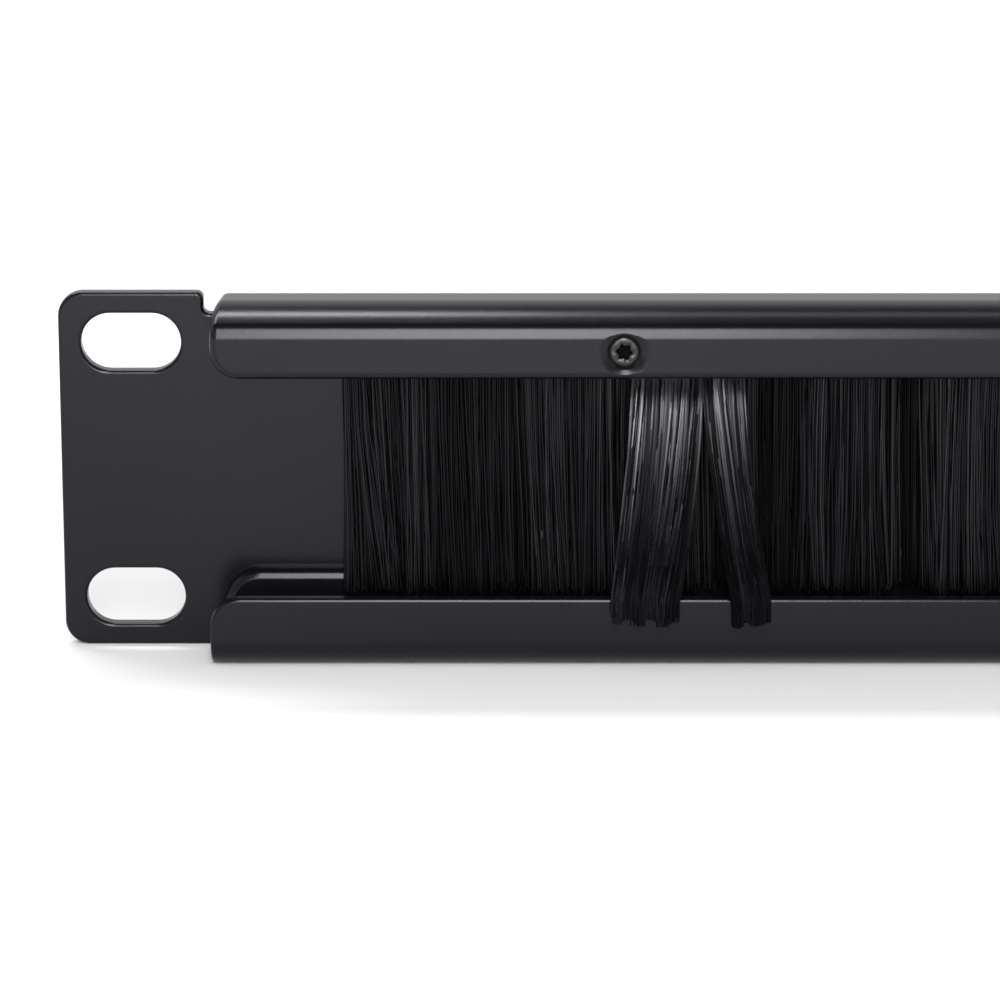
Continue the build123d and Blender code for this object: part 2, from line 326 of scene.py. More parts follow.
def shaded_piece(name, work, material, replaced, sharp_degrees):
    """A piece from a finished mesh, shaded smoothly across its bends and rounded edges."""
    for face in work.faces:
        face.smooth = True
    work.verts.index_update()
    work.faces.index_update()
    work.normal_update()
    normals = corner_normals(work, math.radians(sharp_degrees))
    mesh = bpy.data.meshes.new(name)
    work.to_mesh(mesh)
    work.free()
    corners = []
    for face in mesh.polygons:
        for vert in face.vertices:
            corners.append(normals[face.index, vert])
    mesh.normals_split_custom_set(corners)
    mesh.materials.append(material)
    piece = new_object(name, mesh)
    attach(piece, "root")
    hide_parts(replaced)


def smooth_copy(node_name, piece_name, material, sharp_degrees):
    """A merged copy of a CAD node with smooth shading."""
    work = bmesh.new()
    work.from_mesh(nodes[node_name].data)
    bmesh.ops.remove_doubles(work, verts=work.verts, dist=MERGE_WITHIN)
    shaded_piece(piece_name, work, material, node_name, sharp_degrees)


smooth_copy("brush_holder", "holder_extrusion", holder_metal, HOLDER_SHARP_DEGREES)
smooth_copy("strip_channel", "strip_fold", strip_metal, SHARP_DEGREES)
smooth_copy("core_wire", "strip_wire", strip_metal, SHARP_DEGREES)


# Folded sheet, in millimetres until its points are made

# Degrees to a facet of a fold, and the facets of a rounded edge, of a corner and of a screw seat
ARC_STEP = 5.0
ROUND_STEPS = 4
CORNER_STEPS = 12
SEAT_SIDES = 64
# The rows of a sheet keep this far from its rounded corners
ROW_GAP = 0.05
# The lip of the tray, which the locks hang over
LIP_HEIGHT = 8.7
# A screw seat as (radius, depth under the return): dished mouth, countersink and shank hole
SEAT_PROFILE = (
    (3.6, -1.0), (3.1, -0.004), (2.9, 0.016), (2.6, 0.08), (2.3, 0.18),
    (2.12, 0.27), (2.04, 0.36), (1.2, 1.15), (1.2, 3.0),
)


def fold_line(start, heading, steps):
    """Points down the outer side of a folded sheet, as (y, z, heading, length so far).

    Each step is (length, 0) for a flat or (outer radius, angle) for a bend to the left of the heading.
    """
    y, z = start
    turn = math.radians(heading)
    length = 0.0
    line = [(y, z, turn, length)]
    for size, angle in steps:
        count = max(2, round(angle / ARC_STEP)) if angle else 1
        swing = math.radians(angle) / count
        for _ in range(count):
            if angle:
                y -= size * math.sin(turn)
                z += size * math.cos(turn)
                turn += swing
                y += size * math.sin(turn)
                z -= size * math.cos(turn)
                length += size * swing
            else:
                y += size * math.cos(turn)
                z += size * math.sin(turn)
                length += size
            line.append((y, z, turn, length))
    return line


def on_fold(line, x, down, depth):
    """The point of a sheet at x along it, so far down its fold line and so deep under its outer side."""
    for first, second in zip(line, line[1:]):
        if down <= second[3]:
            break
    share = (down - first[3]) / (second[3] - first[3])
    y, z, turn = (a + (b - a) * share for a, b in zip(first[:3], second[:3]))
    return Vector((x, y - depth * math.sin(turn), z + depth * math.cos(turn))) * MM


def sheet_side(line, half_at, first_r, last_r):
    """The right-hand edge of the unrolled sheet as (x, down), with a rounded corner at each end."""
    end = line[-1][3]
    quarter = [math.pi / 2 * i / CORNER_STEPS for i in range(CORNER_STEPS + 1)]
    side = []
    for a in quarter if first_r else [math.pi / 2]:
        side.append((half_at(0.0) - first_r * (1 - math.sin(a)), first_r * (1 - math.cos(a))))
    for _, _, _, down in line:
        if side[-1][1] + ROW_GAP < down < end - last_r - ROW_GAP:
            side.append((half_at(down), down))
    for a in quarter if last_r else [0.0]:
        side.append((half_at(end) - last_r * (1 - math.cos(a)), end - last_r * (1 - math.sin(a))))
    return side


def join_rings(work, rings):
    """Faces between rings of as many points each."""
    for first, second in zip(rings, rings[1:]):
        for i in range(len(first)):
            j = (i + 1) % len(first)
            work.faces.new((first[i], first[j], second[j], second[i]))


def folded_sheet(line, side, thickness, outer_r, inner_r):
    """A closed sheet down a fold line: two skins of long strips, and edges rounded to both skins."""
    work = bmesh.new()
    loop = side + [(-x, down) for x, down in reversed(side)]
    count = len(loop)
    inward = []
    for i in range(count):
        total = Vector((0.0, 0.0))
        for start, end in ((loop[i - 1], loop[i]), (loop[i], loop[(i + 1) % count])):
            step = Vector(end) - Vector(start)
            total += Vector((-step.y, step.x)).normalized()
        inward.append(total.normalized())
    rings = []
    for skin_r, outer in ((outer_r, True), (inner_r, False)):
        for k in range(ROUND_STEPS + 1):
            a = math.pi / 2 * (k if outer else ROUND_STEPS - k) / ROUND_STEPS
            ring = []
            for (x, down), way in zip(loop, inward):
                r = skin_r(down)
                inset = r * (1 - math.sin(a))
                depth = r * (1 - math.cos(a))
                level = depth if outer else thickness - depth
                place = on_fold(line, x + way.x * inset, down + way.y * inset, level)
                ring.append(work.verts.new(place))
            rings.append(ring)
    join_rings(work, rings)
    for skin in (rings[0], rings[-1]):
        for j in range(len(side) - 1):
            work.faces.new((skin[count - 1 - j], skin[j], skin[j + 1], skin[count - 2 - j]))
    bmesh.ops.recalc_face_normals(work, faces=work.faces)
    return work


def rounded_ring(corners, inset):
    """Points round an outline of upright and level edges, drawn in from it, with corners (x, z, radius).

    The outline runs with the sheet on its left, so a hole runs the other way round.
    """
    points = []
    for i, (x, z, r) in enumerate(corners):
        here = Vector((x, z))
        come = (here - Vector(corners[i - 1][:2])).normalized()
        go = (Vector(corners[(i + 1) % len(corners)][:2]) - here).normalized()
        out_before = Vector((come.y, -come.x))
        out_after = Vector((go.y, -go.x))
        bend = come.x * go.y - come.y * go.x
        radius = r - bend * inset
        middle = here - (inset + bend * radius) * (out_before + out_after)
        for k in range(CORNER_STEPS + 1):
            a = math.pi / 2 * k / CORNER_STEPS
            points.append(middle + bend * radius * (out_before * math.cos(a) + out_after * math.sin(a)))
    return points


def hole_corners(x, z, width, height, r):
    """The corners of a rounded rectangular hole about a middle."""
    corners = []
    for sx, sz in ((-1, 1), (1, 1), (1, -1), (-1, -1)):
        corners.append((x + sx * width / 2, z + sz * height / 2, r))
    return corners


def plate(work, outlines, front_y, rear_y, front_r, rear_r):
    """A flat sheet with holes, its edges rounded to the front and to the rear."""
    levels = []
    for k in range(ROUND_STEPS + 1):
        a = math.pi / 2 * k / ROUND_STEPS
        levels.append((front_r * (1 - math.sin(a)), front_y + front_r * (1 - math.cos(a))))
    for k in range(ROUND_STEPS + 1):
        a = math.pi / 2 * k / ROUND_STEPS
        levels.append((rear_r * (1 - math.cos(a)), rear_y - rear_r * (1 - math.sin(a))))
    front_edges = []
    rear_edges = []
    for corners in outlines:
        rings = []
        for inset, y in levels:
            ring = []
            for point in rounded_ring(corners, inset):
                ring.append(work.verts.new(Vector((point.x, y, point.y)) * MM))
            rings.append(ring)
        join_rings(work, rings)
        for edges, ring in ((front_edges, rings[0]), (rear_edges, rings[-1])):
            for i in range(len(ring)):
                edges.append(work.edges.get((ring[i - 1], ring[i])))
    bmesh.ops.triangle_fill(work, use_beauty=True, edges=front_edges, normal=(0.0, -1.0, 0.0))
    bmesh.ops.triangle_fill(work, use_beauty=True, edges=rear_edges, normal=(0.0, 1.0, 0.0))
    bmesh.ops.recalc_face_normals(work, faces=work.faces)


def turned_cutter(work, x, z, profile):
    """A solid of revolution about Y from points (radius, y), closed at both ends."""
    rings = []
    for r, y in profile:
        ring = []
        for i in range(SEAT_SIDES):
            a = math.tau * i / SEAT_SIDES
            ring.append(work.verts.new(Vector((x + r * math.sin(a), y, z + r * math.cos(a))) * MM))
        rings.append(ring)
    join_rings(work, rings)
    work.faces.new(rings[0])
    work.faces.new(rings[-1])


def cut_away(work, cutter):
    """The first mesh without the second."""
    objects = []
    for form in (work, cutter):
        mesh = bpy.data.meshes.new("cut_form")
        form.to_mesh(mesh)
        form.free()
        objects.append(new_object("cut_form", mesh))
    modifier = objects[0].modifiers.new("Cut", "BOOLEAN")
    modifier.operation = "DIFFERENCE"
    modifier.solver = "EXACT"
    modifier.object = objects[1]
    depsgraph = bpy.context.evaluated_depsgraph_get()
    mesh = bpy.data.meshes.new_from_object(objects[0].evaluated_get(depsgraph))
    result = bmesh.new()
    result.from_mesh(mesh)
    bpy.data.meshes.remove(mesh)
    for scaffold in objects:
        bpy.data.objects.remove(scaffold)
    return result


def box_mm(node_name):
    """The corners of a node's box in millimetres."""
    return [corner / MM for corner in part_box(node_name)]


def panel_piece():
    """The ears and back plate with the crowned hood, and the four screw seats in the hood's return."""
    low, high = box_mm("main_panel")
    sheet = 2.0
    ear_width, ear_corner_r = 18.9, 3.0
    slot_inset, slot_pitch_z = 8.75, 31.75
    # The ends of a slot are a hair short of half its width, so that its outline has no empty edge
    slot_length, slot_width, slot_corner_r = 12.0, 7.0, 3.499
    window_side, window_height, window_corner_r = 22.4, 23.6, 5.0
    relief_width, relief_corner_r, relief_root_r = 1.3, 0.9, 0.7
    rear_bend_r, front_bend_r = 2.6, 2.4
    crown_r, crown_angle = 9.5, 35.0
    return_height, return_corner_r = 8.5, 3.5
    end_slant = 1.0
    # The hood starts inside the plate, so that the two sheets meet in solid metal
    tuck, tuck_height = 0.03, 1.0
    hood_edge_r, plate_edge_r, rear_edge_r = 0.9, 0.45, 0.2

    # Plate, seen from the front
    body_half = high.x - ear_width
    fold_z = high.z - rear_bend_r
    relief_x = body_half + relief_width
    outline = [
        (low.x, low.z, ear_corner_r), (high.x, low.z, ear_corner_r),
        (high.x, high.z, ear_corner_r), (relief_x, high.z, relief_corner_r),
        (relief_x, fold_z, relief_root_r), (-relief_x, fold_z, relief_root_r),
        (-relief_x, high.z, relief_corner_r), (low.x, high.z, ear_corner_r),
    ]
    window_width = 2 * (body_half - window_side)
    outlines = [outline, hole_corners(0.0, 0.0, window_width, window_height, window_corner_r)]
    for sx in (-1, 1):
        for sz in (-1, 1):
            x = sx * (high.x - slot_inset)
            z = sz * slot_pitch_z / 2
            outlines.append(hole_corners(x, z, slot_length, slot_width, slot_corner_r))

    # Hood, from inside the plate over the crown to the return's lower edge
    turn = math.radians(crown_angle)
    crown_reach = crown_r * math.sin(turn) + front_bend_r * (1 - math.sin(turn))
    crown_drop = crown_r * (1 - math.cos(turn)) + front_bend_r * math.cos(turn)
    depth = -low.y
    line = fold_line((-tuck, fold_z - tuck_height), 90.0, [
        (tuck_height, 0), (rear_bend_r, 90), (depth - tuck - rear_bend_r - crown_reach, 0),
        (crown_r, crown_angle), (front_bend_r, 90 - crown_angle), (return_height - crown_drop, 0),
    ])

    def half_at(down):
        y = on_fold(line, 0.0, down, 0.0).y / MM
        return body_half - end_slant * (1 + y / depth)

    side = sheet_side(line, half_at, 0.0, return_corner_r)
    hood = folded_sheet(line, side, sheet, lambda down: hood_edge_r, lambda down: rear_edge_r)
    seats = bmesh.new()
    for number in (1, 2, 3, 4):
        screw_low, screw_high = box_mm(f"brush_screw_{number}")
        x = (screw_low.x + screw_high.x) / 2
        z = (screw_low.z + screw_high.z) / 2
        turned_cutter(seats, x, z, [(r, low.y + under) for r, under in SEAT_PROFILE])
    bmesh.ops.recalc_face_normals(seats, faces=seats.faces)
    work = cut_away(hood, seats)
    plate(work, outlines, -sheet, 0.0, plate_edge_r, rear_edge_r)
    shaded_piece("panel_sheet", work, coat, "main_panel", SHARP_DEGREES)


def tray_piece():
    """The U-shaped rail with its rounded lip and the higher leg against the plate."""
    low, high = box_mm("cable_tray")
    sheet = 1.8
    front_bend_r, rear_bend_r = 3.4, 2.6
    lip_corner_r, leg_corner_r = 3.6, 4.5
    lip_edge_r, leg_front_r, leg_rear_r = 0.45, 1.3, 0.2
    leg_inset = 1.15
    # The leg's own width and edges begin this far before its flat and are reached over this length
    blend_before, blend_length = 1.0, 1.5
    depth = high.y - low.y
    line = fold_line((low.y, low.z + LIP_HEIGHT), -90.0, [
        (LIP_HEIGHT - front_bend_r, 0), (front_bend_r, 90), (depth - front_bend_r - rear_bend_r, 0),
        (rear_bend_r, 90), (high.z - low.z - rear_bend_r, 0),
    ])
    leg_start = line[-2][3]

    def leg_share(down):
        return min(max((down - leg_start + blend_before) / blend_length, 0.0), 1.0)

    def half_at(down):
        return high.x - leg_inset * leg_share(down)

    def outer_r(down):
        return lip_edge_r + (leg_rear_r - lip_edge_r) * leg_share(down)

    def inner_r(down):
        return lip_edge_r + (leg_front_r - lip_edge_r) * leg_share(down)

    side = sheet_side(line, half_at, lip_corner_r, leg_corner_r)
    work = folded_sheet(line, side, sheet, outer_r, inner_r)
    shaded_piece("tray_sheet", work, coat, "cable_tray", SHARP_DEGREES)


panel_piece()
tray_piece()


# Bristles

# Between these shares of its bent stretch a lock's painted sheen turns from painted highlight, a raised
# specular level, to painted shade, a lowered one
PAINTED_SHEEN_FADE = (0.15, 0.7)
# Shares of its depth in the row and of its radius that a strand keeps at its tip
TIP_DEPTH_SHARE = 0.7
TIP_RADIUS_SHARE = 0.7
# The slow wave moves along by this much from one seed to the next
SEED_STEP = 0.37
ROW_INPUTS = [
    ("Count", "NodeSocketInt", 1000),
    ("Start X", FLOAT, 0.0),
    ("End X", FLOAT, 0.0),
    ("Tip Start X", FLOAT, 0.0),
    ("Tip End X", FLOAT, 0.0),
    ("Root Y", FLOAT, 0.0),
    ("Root Depth", FLOAT, 0.001),
    ("Tip Y", FLOAT, 0.0),
    ("Tip Depth", FLOAT, 0.001),
    ("Root Z", FLOAT, 0.0),
    ("Root Uneven", FLOAT, 0.0),
    ("Tip Z", FLOAT, 0.0),
    ("Tip Uneven", FLOAT, 0.0),
    ("Held Share", FLOAT, 0.0),
    ("Fall Share", FLOAT, 1.0),
    ("Bow Power", FLOAT, 1.0),
    ("Bow Vary", FLOAT, 0.0),
    ("Spread Power", FLOAT, 1.0),
    ("Clump Width", FLOAT, 0.002),
    ("Clump Sway", FLOAT, 0.0),
    ("Slow Sway", FLOAT, 0.0),
    ("Strand Sway", FLOAT, 0.0),
    ("Bulge", FLOAT, 0.0),
    ("Empty Start X", FLOAT, 0.0),
    ("Empty End X", FLOAT, 0.0),
    ("Thin Start X", FLOAT, 0.0),
    ("Thin End X", FLOAT, 0.0),
    ("Thin Share", FLOAT, 0.0),
    ("Swept X", FLOAT, 0.0),
    ("Swept Width", FLOAT, 0.001),
    ("Swept Lean", FLOAT, 0.0),
    ("Wave", FLOAT, 0.0),
    ("Wave Count", FLOAT, 1.0),
    ("Turn", FLOAT, 0.0),
    ("Turn Vary", FLOAT, math.tau),
    ("Round", "NodeSocketBool", True),
    # Strength of the painted sheen on a lock's specular level; 0 leaves a row plain
    ("Painted Sheen", FLOAT, 0.0),
    ("Radius", FLOAT, 0.0001),
    ("Segments", "NodeSocketInt", 4),
    ("Seed", "NodeSocketInt", 0),
    ("Material", "NodeSocketMaterial", None),
]


def combine(tree, x, y, z):
    """A vector from three sockets or numbers."""
    node = add_node(tree, "ShaderNodeCombineXYZ")
    for key, value in zip("XYZ", (x, y, z)):
        feed(tree, value, node, key)
    return node.outputs[0]


def split(tree, vector):
    """The three parts of a vector socket."""
    node = add_node(tree, "ShaderNodeSeparateXYZ")
    join(tree, vector, node)
    return node.outputs["X"], node.outputs["Y"], node.outputs["Z"]


def lerp(tree, low, high, share):
    """low + (high - low) * share."""
    span = math_node(tree, "SUBTRACT", high, low)
    return math_node(tree, "ADD", low, math_node(tree, "MULTIPLY", span, share))


def chance(tree, low, high, seed, offset, index=None):
    """A random number for each element or index, from a seed and a fixed offset to it."""
    node = add_node(tree, "FunctionNodeRandomValue", data_type="FLOAT")
    node.inputs[2].default_value = low
    node.inputs[3].default_value = high
    if index is not None:
        join(tree, index, node, "ID")
    join(tree, math_node(tree, "ADD", seed, float(offset)), node, "Seed")
    return node.outputs[1]


def between(tree, value, low, high):
    """1 where a value lies between two levels, and else 0."""
    above = math_node(tree, "GREATER_THAN", value, low)
    return math_node(tree, "MULTIPLY", above, math_node(tree, "LESS_THAN", value, high))


def near_to(tree, value, middle, width):
    """1 at the middle, falling smoothly to 0 a width away from it."""
    away = math_node(tree, "ABSOLUTE", math_node(tree, "SUBTRACT", value, middle))
    result = map_range(tree, away, (0.0, 1.0), (1.0, 0.0), smooth=True)
    join(tree, width, result.node, "From Max")
    return result


def store(tree, geometry, name, value, kind="FLOAT"):
    """Keeps a value on the points under a name."""
    node = add_node(tree, "GeometryNodeStoreNamedAttribute", data_type=kind, domain="POINT")
    node.inputs["Name"].default_value = name
    join(tree, geometry, node, "Geometry")
    join(tree, value, node, "Value")
    return node.outputs[0]


def recall(tree, name, kind="FLOAT"):
    """Reads a kept value."""
    node = add_node(tree, "GeometryNodeInputNamedAttribute", data_type=kind)
    node.inputs["Name"].default_value = name
    return node.outputs[0]


def bristle_tree():
    """Strands from random root points: each is a thin prism that is bent from its root to its own tip."""
    tree, given, out = new_group(
        "Bristle Row", "GeometryNodeTree", ROW_INPUTS, [("Geometry", "NodeSocketGeometry")]
    )
    get = given.outputs

    def plus(first, second):
        return math_node(tree, "ADD", first, second)

    def minus(first, second):
        return math_node(tree, "SUBTRACT", first, second)

    def times(first, second):
        return math_node(tree, "MULTIPLY", first, second)

    def draw(low, high, offset, clump=None):
        return chance(tree, low, high, get["Seed"], offset, clump)

    # Roots, spread along the strip with a little chance
    place = plus(add_node(tree, "GeometryNodeInputIndex"), draw(0.0, 1.0, 1))
    along = math_node(tree, "DIVIDE", place, get["Count"])
    deep = draw(-0.5, 0.5, 2)
    root_x = lerp(tree, get["Start X"], get["End X"], along)
    root_y = plus(get["Root Y"], times(deep, get["Root Depth"]))
    root_z = minus(get["Root Z"], times(draw(0.0, 1.0, 18), get["Root Uneven"]))
    root = combine(tree, root_x, root_y, root_z)

    # Neighbours in a clump sway together, on top of a slow wave along the row
    uneven_edge = times(draw(-0.35, 0.35, 3), get["Clump Width"])
    clump_place = math_node(tree, "DIVIDE", plus(root_x, uneven_edge), get["Clump Width"])
    clump = math_node(tree, "FLOOR", clump_place)
    clump_sway = times(draw(-1.0, 1.0, 4, clump), get["Clump Sway"])
    own_sway = times(draw(-1.0, 1.0, 5), get["Strand Sway"])
    slow = add_node(tree, "ShaderNodeTexNoise", {"Scale": 110.0, "Detail": 1.0}, noise_dimensions="1D")
    join(tree, plus(root_x, times(get["Seed"], SEED_STEP)), slow, "W")
    slow_sway = times(minus(slow.outputs["Fac"], 0.5), get["Slow Sway"])

    # A swept place leans to one side
    swept = times(near_to(tree, root_x, get["Swept X"], get["Swept Width"]), get["Swept Lean"])
    swept = times(swept, draw(0.3, 1.0, 14))
    sway = plus(plus(plus(clump_sway, own_sway), slow_sway), swept)

    # Tips, ragged in their height
    tip_x = plus(lerp(tree, get["Tip Start X"], get["Tip End X"], along), sway)
    deep_tip = plus(times(deep, TIP_DEPTH_SHARE), draw(-0.15, 0.15, 6))
    tip_y = plus(get["Tip Y"], times(deep_tip, get["Tip Depth"]))
    ragged = plus(draw(-0.5, 0.5, 7), draw(-0.5, 0.5, 8, clump))
    tip_z = plus(get["Tip Z"], times(ragged, get["Tip Uneven"]))
    tip = combine(tree, tip_x, tip_y, tip_z)
    bulge = times(plus(draw(-1.0, 1.0, 9, clump), draw(-0.5, 0.5, 10)), get["Bulge"])
    bow_change = plus(draw(-0.7, 0.7, 15, clump), draw(-0.3, 0.3, 16))
    own_bow = plus(get["Bow Power"], times(bow_change, get["Bow Vary"]))

    points = add_node(tree, "GeometryNodePoints")
    join(tree, get["Count"], points, "Count")
    join(tree, root, points, "Position")
    cloud = store(tree, points, "root", root, "FLOAT_VECTOR")
    cloud = store(tree, cloud, "tip", tip, "FLOAT_VECTOR")
    cloud = store(tree, cloud, "bulge", bulge)
    cloud = store(tree, cloud, "bow", own_bow)
    cloud = store(tree, cloud, "strand", draw(0.0, 1.0, 11))
    cloud = store(tree, cloud, "clump", draw(0.2, 1.0, 12, clump))

    # An empty place loses all its strands and a thin place a share of them
    empty = between(tree, root_x, get["Empty Start X"], get["Empty End X"])
    thin = between(tree, root_x, get["Thin Start X"], get["Thin End X"])
    lost = math_node(tree, "LESS_THAN", draw(0.0, 1.0, 17), get["Thin Share"])
    kept = add_node(tree, "GeometryNodeDeleteGeometry", domain="POINT")
    join(tree, cloud, kept, "Geometry")
    join(tree, math_node(tree, "MAXIMUM", empty, times(thin, lost)), kept, "Selection")

    # One strand of unit height that stands on its root
    strand = add_node(tree, "GeometryNodeMeshCone", {"Vertices": 3, "Depth": 1.0}, fill_type="NGON")
    join(tree, get["Segments"], strand, "Side Segments")
    join(tree, get["Radius"], strand, "Radius Bottom")
    join(tree, times(get["Radius"], TIP_RADIUS_SHARE), strand, "Radius Top")
    round_strand = add_node(tree, "GeometryNodeSetShadeSmooth")
    join(tree, strand.outputs["Mesh"], round_strand, "Geometry")
    join(tree, times(strand.outputs["Side"], get["Round"]), round_strand, "Shade Smooth")
    planted = add_node(tree, "GeometryNodeInstanceOnPoints")
    join(tree, kept, planted, "Points")
    join(tree, round_strand, planted, "Instance")
    own_turn = plus(get["Turn"], times(draw(-0.5, 0.5, 13), get["Turn Vary"]))
    join(tree, combine(tree, 0.0, 0.0, own_turn), planted, "Rotation")
    real = add_node(tree, "GeometryNodeRealizeInstances")
    join(tree, planted, real, "Geometry")

    # How far down its strand a point is, and how far along the free stretch that bends
    here_x, here_y, here_z = split(tree, add_node(tree, "GeometryNodeInputPosition"))
    from_x, from_y, from_z = split(tree, recall(tree, "root", "FLOAT_VECTOR"))
    to_x, to_y, to_z = split(tree, recall(tree, "tip", "FLOAT_VECTOR"))
    share = math_node(tree, "SUBTRACT", here_z, from_z, clamp=True)
    free = minus(share, get["Held Share"])
    reach = minus(get["Fall Share"], get["Held Share"])
    bent = math_node(tree, "DIVIDE", free, reach, clamp=True)

    # Bends every strand from its root to its tip, with its clump's bulge and its own wave
    spread = math_node(tree, "POWER", bent, get["Spread Power"])
    bow = minus(1.0, math_node(tree, "POWER", minus(1.0, bent), recall(tree, "bow")))
    swell = times(math_node(tree, "SINE", times(bent, math.pi)), recall(tree, "bulge"))
    phase = plus(times(share, get["Wave Count"]), recall(tree, "strand"))
    wave = times(times(math_node(tree, "SINE", times(phase, math.tau)), get["Wave"]), bent)
    new_x = plus(plus(lerp(tree, from_x, to_x, spread), minus(here_x, from_x)), swell)
    new_y = plus(plus(lerp(tree, from_y, to_y, bow), minus(here_y, from_y)), wave)
    new_z = lerp(tree, from_z, to_z, share)
    # Painted sheen on the points: a painted highlight at the top of a lock's bend that turns to painted
    # shade below it
    fade = map_range(tree, bent, PAINTED_SHEEN_FADE, (1.0, -1.0))
    with_painted_sheen = store(tree, real, "painted_sheen", times(fade, get["Painted Sheen"]))
    moved = add_node(tree, "GeometryNodeSetPosition")
    join(tree, with_painted_sheen, moved, "Geometry")
    join(tree, combine(tree, new_x, new_y, new_z), moved, "Position")
    # The strand was turned over, so its faces are too
    outward = add_node(tree, "GeometryNodeFlipFaces")
    join(tree, moved, outward, "Mesh")
    painted = add_node(tree, "GeometryNodeSetMaterial")
    join(tree, outward, painted, "Geometry")
    join(tree, get["Material"], painted, "Material")
    join(tree, painted, out, "Geometry")
    return tree


def grown_piece(name, tree, values, replaced):
    """A piece whose mesh comes from a node tree, with the named inputs set before it is first evaluated."""
    scaffold = new_object(name + "_source", bpy.data.meshes.new(name + "_source"))
    modifier = scaffold.modifiers.new("Grow", "NODES")
    modifier.node_group = tree
    for item in tree.interface.items_tree:
        if item.item_type == "SOCKET" and item.in_out == "INPUT" and item.name in values:
            modifier[item.identifier] = values[item.name]
    depsgraph = bpy.context.evaluated_depsgraph_get()
    mesh = bpy.data.meshes.new_from_object(scaffold.evaluated_get(depsgraph))
    mesh.name = name
    # Keeps the sharp ends out of the smooth sides' shading
    mesh.normals_split_custom_set([corner.vector.copy() for corner in mesh.corner_normals])
    bpy.data.objects.remove(scaffold)
    piece = new_object(name, mesh)
    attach(piece, "root")
    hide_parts(*replaced)


strip_low, strip_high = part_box("strip_channel")
rear_low, rear_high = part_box("rear_bristles")
front_low, front_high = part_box("front_bristles")
wire_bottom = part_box("core_wire")[0].z
holder_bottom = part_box("brush_holder")[0].z
tray_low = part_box("cable_tray")[0]

ROOT_GAP = 0.12 * MM
EXIT_DROP = 0.8 * MM
TIP_LIFT = 1.2 * MM
brush_y = (strip_low.y + strip_high.y) / 2
root_z = wire_bottom - ROOT_GAP
tip_z = (rear_low.z + front_low.z) / 2 + TIP_LIFT
exit_z = holder_bottom - EXIT_DROP
strand_tree = bristle_tree()

# Where the locks leave the front row, and where they hang over the lip
LEFT_LOCK_ROOT = (-172.2 * MM, -163.9 * MM)
LEFT_LOCK_TIP = (-174.6 * MM, -166.9 * MM)
RIGHT_LOCK_ROOT = (-163.7 * MM, -158.8 * MM)
RIGHT_LOCK_TIP = (-160.0 * MM, -155.8 * MM)
THIN_PLACE = (-142.0 * MM, -137.6 * MM)
LOCK_REACH = 1.45 * MM
LOCK_OVERHANG = 2.1 * MM
lip_top_z = tray_low.z + LIP_HEIGHT * MM
lock_tip_y = tray_low.y - LOCK_REACH
lock_tip_z = lip_top_z - LOCK_OVERHANG

# Rows and locks stand this far from the middle of the strip at their roots, and rows at their tips
ROOT_APART = 0.7 * MM
TIP_APART = 0.85 * MM
# The ends of a row draw in by this much from root to tip
END_DRAW = 0.9 * MM

STRANDS = {
    "Root Depth": 1.3 * MM,
    "Tip Depth": 1.9 * MM,
    "Root Z": root_z,
    "Tip Z": tip_z,
    "Tip Uneven": 1.2 * MM,
    "Held Share": (root_z - exit_z) / (root_z - tip_z),
    "Spread Power": 1.2,
    "Clump Width": 2.1 * MM,
    "Clump Sway": 0.75 * MM,
    "Slow Sway": 3.2 * MM,
    "Strand Sway": 0.6 * MM,
    "Bulge": 0.36 * MM,
    "Radius": 0.13 * MM,
    "Segments": 3,
    "Material": nylon,
}


def strands(name, replaced, count, seed, root_x, tip_x, root_y, tip_y, changes):
    """A stretch of bristles with its roots and tips between two places along the strip."""
    values = dict(STRANDS, Count=count, Seed=seed)
    values["Start X"], values["End X"] = root_x
    values["Tip Start X"], values["Tip End X"] = tip_x
    values["Root Y"] = root_y
    values["Tip Y"] = tip_y
    values.update(changes)
    grown_piece(name, strand_tree, values, [replaced])


def row(name, replaced, count, sign, seed, ends, changes):
    """One of the two straight rows; sign is -1 for the front row and 1 for the rear one."""
    root_y = brush_y + sign * ROOT_APART
    tip_y = brush_y + sign * TIP_APART
    tip_ends = (ends[0] + END_DRAW, ends[1] - END_DRAW)
    strands(name, replaced, count, seed, ends, tip_ends, root_y, tip_y, changes)


def lock(name, replaced, count, seed, root_x, tip_x, bow_power):
    """A lock of the front row that bows forward and hangs over the lip."""
    values = {
        "Root Uneven": 1.3 * MM,
        "Tip Z": lock_tip_z,
        "Held Share": (root_z - holder_bottom) / (root_z - lock_tip_z),
        "Fall Share": (root_z - lip_top_z) / (root_z - lock_tip_z),
        "Bow Power": bow_power,
        "Bow Vary": 0.7,
        "Spread Power": 1.4,
        "Clump Width": 1.1 * MM,
        "Clump Sway": 0.35 * MM,
        "Slow Sway": 0.0,
        "Strand Sway": 0.3 * MM,
        "Bulge": 0.25 * MM,
        "Wave": 0.22 * MM,
        "Wave Count": 3.2,
        "Turn": -math.pi / 6,
        "Turn Vary": 0.8,
        "Round": False,
        # Painted sheen: the specular level is raised on the upper bend and lowered below it
        "Painted Sheen": 1.0,
        "Radius": 0.115 * MM,
        "Segments": 14,
    }
    strands(name, replaced, count, seed, root_x, tip_x, brush_y - ROOT_APART, lock_tip_y, values)


